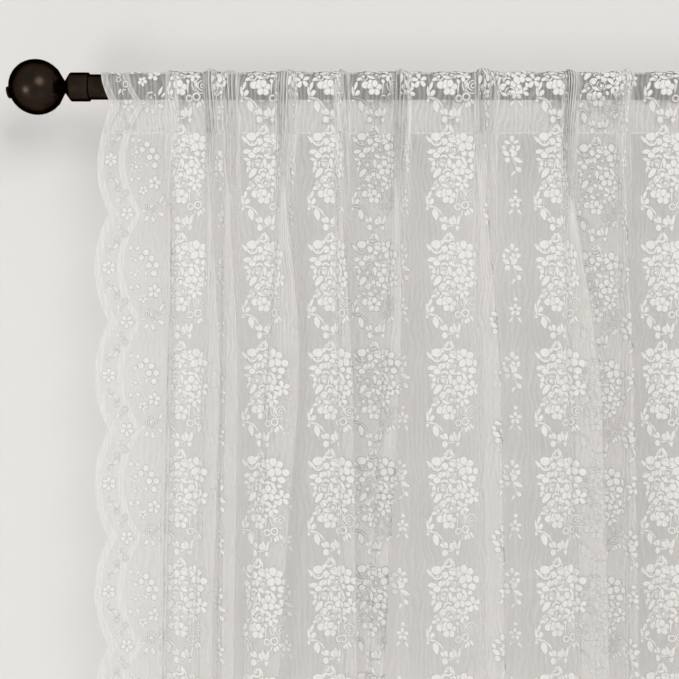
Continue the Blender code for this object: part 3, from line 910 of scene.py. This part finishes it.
# The large bunch of flowers, whose middle is at 0, with a bud above it and a spray below
BOUQUET = [
    # bud at the top
    *leaf((-8.8, -31.6), 7.2, 2.7, -62),
    *leaf((-0.6, -31.4), 8.4, 2.9, -112),
    *arc((-5.6, -35.4), 4.0, 2.9, 20, 140, 7),
    *petal((-6.4, -35.8), 3.0, 2.2, -64),
    *leaf((-0.8, -30.6), 4.8, 1.6, 58),
    # upper left: large rose head, its calyx and leaves
    *leaf((-17.6, -22.2), 9.0, 3.1, -134),
    *petal((-15.4, -25.4), 6.4, 7.6, -90, 0.1),
    *arc((-15.0, -25.4), 4.3, 2.5, 8, 170, 8),
    *petal((-15.0, -23.8), 3.6, 3.2, 88),
    *leaf((-22.6, -15.0), 7.0, 3.6, -8),
    *leaf((-22.0, -9.4), 5.6, 2.4, 18),
    *disc((-8.3, -24.4), 2.6),
    *petal((-11.0, -28.8), 3.8, 2.8, -70),
    *petal((-14.2, -14.8), 5.6, 4.2, -36),
    *petal((-10.4, -15.4), 4.2, 3.0, -58),
    *petal((-5.6, -15.0), 5.2, 3.4, -98),
    *leaf((-4.4, -27.2), 7.2, 3.8, 26),
    *petal((-5.6, -21.6), 4.6, 3.2, 6),
    *petal((-4.6, -30.2), 3.6, 2.8, 24),
    # upper right: round-petalled flower
    *flower((9.5, -23.8), 8.0, 5.3, -100, 5, 0.0, 0.12),
    *petal((17.4, -20.6), 5.6, 5.2, 22, 0.1),
    *petal((13.2, -13.6), 6.2, 5.0, 12, 0.1),
    *disc((3.8, -29.2), 1.7, 8),
    # heart of the bunch
    *rose((0.6, -17.2), 3.9, 20),
    *petal((7.2, -15.6), 4.8, 3.8, 38),
    *leaf((-4.2, -12.8), 6.4, 3.2, 30),
    *leaf((1.6, -10.6), 5.4, 3.0, 6),
    *arc((-8.6, -8.8), 3.2, 2.5, 195, 150, 6),
    *petal((-12.4, -11.6), 5.4, 4.4, 192),
    *petal((-17.4, -7.2), 4.0, 3.2, 98),
    *rose((-10.3, -3.8), 4.6, 200),
    *arc((-12.6, -4.0), 5.6, 2.4, 125, 110, 6),
    *leaf((-4.2, -9.0), 7.6, 3.2, 84),
    *leaf((7.4, -10.8), 8.8, 2.7, 60),
    *petal((12.4, -7.4), 3.8, 3.2, -6),
    *flower((4.6, -1.2), 6.7, 4.6, -92, 5, 0.0, 0.0),
    *flower((17.0, 2.6), 6.7, 3.3, -98, 5, 0.0, 0.3),
    *petal((-17.2, 7.0), 8.8, 4.0, -54),
    *leaf((-19.2, 2.4), 5.0, 2.0, -80),
    *arc((-5.6, 3.4), 3.3, 2.4, 165, 170, 6),
    *petal((-7.2, 5.0), 3.8, 3.4, -8),
    *petal((-1.8, 3.4), 5.8, 4.0, 68),
    *petal((2.6, 6.4), 4.2, 3.0, 40),
    *leaf((-12.6, 9.6), 7.4, 4.2, -30),
    *leaf((-10.4, 13.6), 6.4, 2.8, 22),
    *petal((10.4, 5.0), 3.8, 2.8, 62),
    *disc((-9.6, 9.4), 1.7, 8),
    # below: roses, stars and a scroll
    *rose((-14.0, 14.4), 4.1, 60),
    *petal((-12.6, 18.8), 5.6, 5.8, 86, 0.1),
    *leaf((-19.6, 17.8), 4.6, 2.4, -30),
    *rose((-2.9, 12.4), 4.2, 310),
    *petal((-7.0, 17.4), 3.4, 2.8, 130),
    *flower((7.6, 12.4), 6.2, 2.9, -118, 5, 0.0, 0.2),
    *flower((-4.5, 24.2), 6.3, 4.4, -86, 5, 0.0, 0.1),
    *petal((2.0, 17.2), 3.2, 2.4, 60),
    *leaf((8.2, 17.4), 8.4, 2.6, 62),
    *scroll((15.6, 22.4), 7.0, 20),
    *line(((3.8, 18.6), (3.0, 21.0), (2.6, 25.0), (2.4, 29.0)), 1.5),
    *line(((6.6, 18.8), (6.4, 22.0), (7.6, 25.6), (10.2, 28.0)), 1.3),
    *ring((3.6, 33.0), 2.6, 1.7),
    *ring((10.1, 31.6), 3.0, 1.8),
    *leaf((12.0, 35.6), 4.6, 2.2, 66),
    *leaf((14.4, 34.2), 5.4, 2.0, 56),
    *petal((10.6, 37.2), 3.6, 2.2, 84),
    *line(((8.6, 35.8), (7.4, 39.0), (5.4, 42.4)), 1.5),
    # garland at the lower left
    *leaf((-19.8, 19.6), 6.8, 2.3, 110),
    *leaf((-22.6, 31.2), 8.0, 2.3, -98),
    *petal((-20.6, 30.8), 5.0, 3.0, -60),
    *line(((-24.4, 32.4), (-20.6, 32.6), (-16.2, 33.8), (-12.6, 36.6), (-9.8, 41.4)), 2.4),
    *leaf((-17.0, 35.4), 9.2, 4.6, 78),
    *disc((-23.2, 35.0), 1.2, 7),
    # spray at the foot
    *petal((-12.2, 44.0), 5.0, 3.2, 22),
    *petal((-6.6, 46.8), 5.0, 3.0, -112),
    *disc((-1.4, 45.8), 2.7, 9),
    *leaf((2.0, 48.4), 8.0, 2.8, -108),
    *leaf((3.2, 48.6), 8.4, 2.5, -76),
    *leaf((3.2, 49.0), 5.0, 2.8, 92),
    *petal((-8.8, 48.8), 5.0, 4.2, 80, 0.1),
    *line(((-6.6, 49.4), (-3.4, 50.2), (0.6, 49.6)), 1.7),
]

# A small upright spray between the bouquets
SPRIG = [
    *petal((0.4, -9.4), 4.6, 3.0, -92),
    *petal((-4.6, -3.4), 3.8, 2.8, -118),
    *petal((3.8, -2.8), 4.2, 3.0, -70),
    *disc((0.2, -3.4), 1.8, 8),
    *petal((-1.0, -8.0), 4.4, 2.7, -158),
    *petal((1.4, -8.6), 4.0, 2.5, -24),
    *petal((0.2, -7.0), 3.4, 2.3, 58),
    *leaf((-1.6, 0.6), 6.2, 3.4, -146),
    *petal((0.2, 1.6), 5.6, 3.8, -60),
    *leaf((1.0, 2.2), 7.8, 3.3, 26),
    *disc((-3.0, 3.6), 2.0, 8),
    *petal((3.6, 8.8), 4.4, 3.0, 52),
    *line(((0.4, 3.0), (2.2, 5.6), (3.2, 9.2), (2.8, 13.4)), 1.1),
    *leaf((2.6, 11.6), 4.8, 1.8, 128),
]

# The smaller figure between two sprays
BUD = [
    *flower((0.0, 0.0), 4.3, 2.5, -90, 5, 0.0, 0.2),
    *leaf((-1.6, 5.0), 4.6, 1.8, 128),
    *leaf((1.6, 5.0), 4.8, 1.8, 56),
    *disc((0.4, -7.0), 1.4, 7),
]


def border():
    """One repeat of the border: x in from the widest outline, y down from the crown of a scallop."""
    made = flower((12.6, 0.0), 6.0, 3.6, -90, 6, 1.0, 0.2)
    for side in (-1, 1):
        # curled leaves on both sides of the crown's flower
        made += arc((14.6, 13.6 * side), 2.7, 1.3, 30 * side, 230 * side, 7)
        made += leaf((16.8, 16.4 * side), 6.4, 2.2, 48 * side)
        made += leaf((11.2, 17.6 * side), 5.0, 1.8, 14 * side)
        made += arc((19.4, 20.8 * side), 2.2, 1.2, -60 * side, 250 * side, 6)
        # rings on the way to the notch
        made += ring((27.0, 29.6 * side), 2.4, 1.25)
        made += ring((19.6, 25.2 * side), 2.2, 1.2)
        made += leaf((22.0, 33.4 * side), 5.2, 1.9, 118 * side)
        made += arc((25.6, 36.2 * side), 2.3, 1.2, 100 * side, 220 * side, 6)
        # dotted rosette beyond the inner band
        for index in range(7):
            turn = math.radians(360 * index / 7)
            made += disc((36.2 + 4.4 * math.cos(turn), (6.4 * side) + 4.4 * math.sin(turn)), 1.05, 6)
        made += disc((36.2, 6.4 * side), 1.6, 8)
        made += petal((31.4, 15.2 * side), 4.4, 2.7, 74 * side)
        made += petal((36.6, 15.4 * side), 4.2, 2.5, 40 * side)
    # flower at the notch, which is half a repeat down
    made += flower((28.6, 47.5), 5.8, 3.5, -54, 5, 0.9, 0.2)
    # heads of round petals beyond the inner band
    for at in ((45.4, -13.4), (40.8, -8.8), (50.2, -8.2), (48.0, -2.0), (54.6, -2.2), (52.6, 5.0)):
        made += disc(at, 2.6, 9)
    made += leaf((44.6, 2.6), 5.2, 2.0, 70)
    made += flower((52.6, 20.6), 6.0, 3.7, -80, 5, 0.0, 0.2)
    made += flower((42.6, 27.0), 4.2, 2.6, -60, 5, 0.0, 0.2)
    made += rose((50.0, 41.0), 5.0, 0)
    made += leaf((57.4, 38.6), 8.0, 2.5, -62)
    made += leaf((59.6, 40.6), 7.6, 2.3, -40)
    made += petal((56.4, 46.8), 5.4, 3.2, 30)
    made += petal((46.8, 49.0), 5.6, 3.2, 112)
    made += petal((50.6, 49.6), 5.8, 3.0, 72)
    made += leaf((45.2, 44.8), 4.6, 2.0, 160)
    return made


def cushion(edge):
    """A blob's points, how far each of them is raised, and its faces."""
    middle = edge.mean(axis=0)
    inner = middle + (edge - middle) * RISEN_SHARE
    corners = len(edge)
    raised = np.array([0.0] * corners + [0.85] * corners + [1.0])
    faces = []
    for index in range(corners):
        following = (index + 1) % corners
        faces.append([following, index, corners + index, corners + following])
        faces.append([corners + following, corners + index, 2 * corners])
    return np.concatenate([edge, inner, [middle]]), raised, faces


def cord(points, half):
    """A line's points, how far each of them is raised, and its faces."""
    way = np.gradient(points, axis=0)
    if np.allclose(points[0], points[-1]):
        way[0] = way[-1] = points[1] - points[-2]
    way /= np.linalg.norm(way, axis=1)[:, None]
    side = np.stack([-way[:, 1], way[:, 0]], axis=1) * half[:, None]
    count = len(points)
    raised = np.repeat([0.0, 1.0, 0.0], count)
    faces = []
    for first in (0, count):
        for corner in range(first, first + count - 1):
            faces.append([corner, corner + count, corner + count + 1, corner + 1])
    return np.concatenate([points - side, points, points + side]), raised, faces


class Lace(Laid):
    """Figures worked on the net."""

    finish = FIGURE_FINISH

    def lay(self, figures, at, thread, right=False):
        """Lays each figure for which the cloth has room."""
        for index, (points, half) in enumerate(figures):
            points, raised, faces = cushion(points) if half is None else cord(points, half)
            across = at[0] + points[:, 0] * MM
            down = at[1] + points[:, 1] * MM
            if right:
                across = FLAT_WIDTH - across
            edge = outline(down) + SIDE_CLEAR
            inside = (across > edge) & (across < FLAT_WIDTH - edge)
            if not inside.all() or down.max() > HEM - HEM_CLEAR or down.min() < -STITCH + MM:
                continue
            level = LAY_LIFT * (2 * index % LAY_TURNS)
            lift = (np.where(raised, HIGH_LIFT * raised, LOW_LIFT) + level) * MM
            cover = np.where(raised, thread.body, thread.rim)
            near_rod = (np.abs(down) < NEAR_ROD) & (cover > BODY_FROM)
            self.add(across, down, lift, np.where(near_rod, NEAR_ROD_COVER, cover), faces, right)


def repeats(first):
    """Every place down the cloth where a figure of this repeat may lie."""
    return [first + SCALLOP_PITCH * index for index in REPEATS]


def add_bouquets():
    """The bunches of flowers, in pieces of one or two columns."""
    pieces = []
    chart = grown(BOUQUET, BOUQUET_GROWTH)
    for start in range(0, len(BOUQUET_COLUMNS), 2):
        lace = Lace()
        for column in BOUQUET_COLUMNS[start : start + 2]:
            thread = FAINT_THREAD if column.faint else BOUQUET_THREAD
            for down in repeats(BOUQUET_DOWN + column.shift * MM):
                lace.lay(chart, (cloth_at(column), down), thread)
        pieces.append(lace.make(f"lace_bouquets_{start // 2 + 1}"))
    return pieces


def add_sprigs():
    """The sprays and buds, and the hearts of bouquets that lie in front of the rod."""
    lace = Lace()
    large = enlarged(grown(SPRIG, SPRIG_GROWTH), SPRIG_SCALE)
    small = enlarged(grown(BUD, BUD_GROWTH), BUD_SCALE)
    chart = grown(BOUQUET, HEART_GROWTH)
    heart = [figure for figure in chart if abs(figure[0].mean(axis=0)[1]) < HEART_HALF]
    for column in SPRIG_COLUMNS:
        across = cloth_at(column)
        for down in repeats(SPRIG_DOWN + column.shift * MM):
            lace.lay(large, (across, down), SPRIG_THREAD)
        for down in repeats(BUD_DOWN + column.shift * MM):
            lace.lay(small, (across + BUD_ASIDE, down), SPRIG_THREAD)
        lace.lay(heart, (across, HEART_DOWN), SPRIG_THREAD)
    return lace.make("lace_sprigs")


def add_border():
    lace = Lace()
    chart = grown(border(), BORDER_GROWTH)
    for right in (False, True):
        for down in repeats(FIRST_NOTCH + SCALLOP_PITCH / 2):
            lace.lay(chart, (0.0, down), BORDER_THREAD, right)
    return lace.make("lace_border")


# ---- stage ----


def stage_material(name, colour):
    """A plain surface that can be seen from its front only."""
    nodes = Nodes(name)
    nodes.set(Base_Color=(*colour, 1), Roughness=0.9, Specular_IOR_Level=0.1)
    behind = nodes.add("ShaderNodeNewGeometry").outputs["Backfacing"]
    clear = nodes.add("ShaderNodeBsdfTransparent").outputs[0]
    mixed = nodes.add("ShaderNodeMixShader", {0: behind, 1: nodes.shader.outputs[0], 2: clear})
    target = nodes.tree.nodes["Material Output"].inputs["Surface"]
    nodes.tree.links.new(mixed.outputs[0], target)
    return nodes.material


def add_stage():
    """A plain wall behind the valance that turns into a plain floor."""
    wall, floor, cove = 0.09, -1.0, 0.25
    top, front, half_wide = 1.6, -3.0, 2.6
    turns = np.linspace(0, math.pi / 2, 9)
    profile = [(wall, top)]
    for turn in turns:
        profile.append((wall - cove + cove * math.cos(turn), floor + cove - cove * math.sin(turn)))
    profile.append((front, floor))
    points = [(x, y, z) for y, z in profile for x in (-half_wide, half_wide)]
    plain = stage_material("stage_plain", (0.74, 0.735, 0.725))
    made = add_smooth("stage_wall", points, grid_faces(len(profile), 2), plain)


def add_light(name, at, aim, size, power, colour):
    lamp = bpy.data.lights.new(name, "AREA")
    lamp.shape = "DISK"
    lamp.size = size
    lamp.energy = power
    lamp.color = colour
    made = add_object(name, lamp)
    made.location = at
    made.rotation_euler = (Vector(aim) - Vector(at)).to_track_quat("-Z", "Y").to_euler()


def add_lights():
    world = bpy.data.worlds.new("studio")
    world.use_nodes = True
    background = world.node_tree.nodes["Background"]
    background.inputs["Color"].default_value = (1.0, 0.982, 0.965, 1)
    background.inputs["Strength"].default_value = 0.68
    bpy.context.scene.world = world
    add_light("key", (0.5, -1.9, 0.5), (-0.1, 0, -0.15), 1.1, 15, (1.0, 0.978, 0.958))
    add_light("low_left", (-1.3, -1.3, -0.6), (-0.6, 0, -0.35), 0.5, 6.0, (1.0, 0.995, 0.985))
    add_light("behind", (0.5, 2.0, 0.4), (0, 0, -0.3), 1.2, 11, (1.0, 0.98, 0.96))


def add_camera():
    lens = bpy.data.cameras.new("camera")
    lens.lens = 60.0
    lens.sensor_width = 36.0
    made = add_object("camera", lens)
    made.location = (-0.1504, -0.996, -0.2222)
    made.rotation_euler = (math.pi / 2, 0, 0)
    bpy.context.scene.camera = made


def finish_bronze():
    turned = bronze_material("bronze_turned", turned=True)
    finishes = {"rod_bar": turned}
    for side, ball_at in (("left", -BALL_PLACE), ("right", BALL_PLACE)):
        finishes[f"finial_collar_{side}"] = turned
        finishes[f"finial_throat_{side}"] = turned
        finishes[f"finial_ball_{side}"] = bronze_material(f"bronze_ball_{side}", middle=(ball_at, 0, 0))
    plain = bronze_material("bronze_plain")
    for thing in bpy.data.objects:
        if thing.name in finishes or thing.name.startswith("finial_button"):
            for slot in thing.material_slots:
                slot.material = finishes.get(thing.name, plain)


finish_bronze()
veil = add_veil()
parts = [add_bands(), add_stitches(), add_creases(), add_ridges()]
parts += [*add_bouquets(), add_sprigs(), add_border()]
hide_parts("valance_cloth")
add_stage()
add_lights()
add_camera()

scene = bpy.context.scene
scene.view_settings.view_transform = "Standard"
scene.cycles.transparent_max_bounces = 24
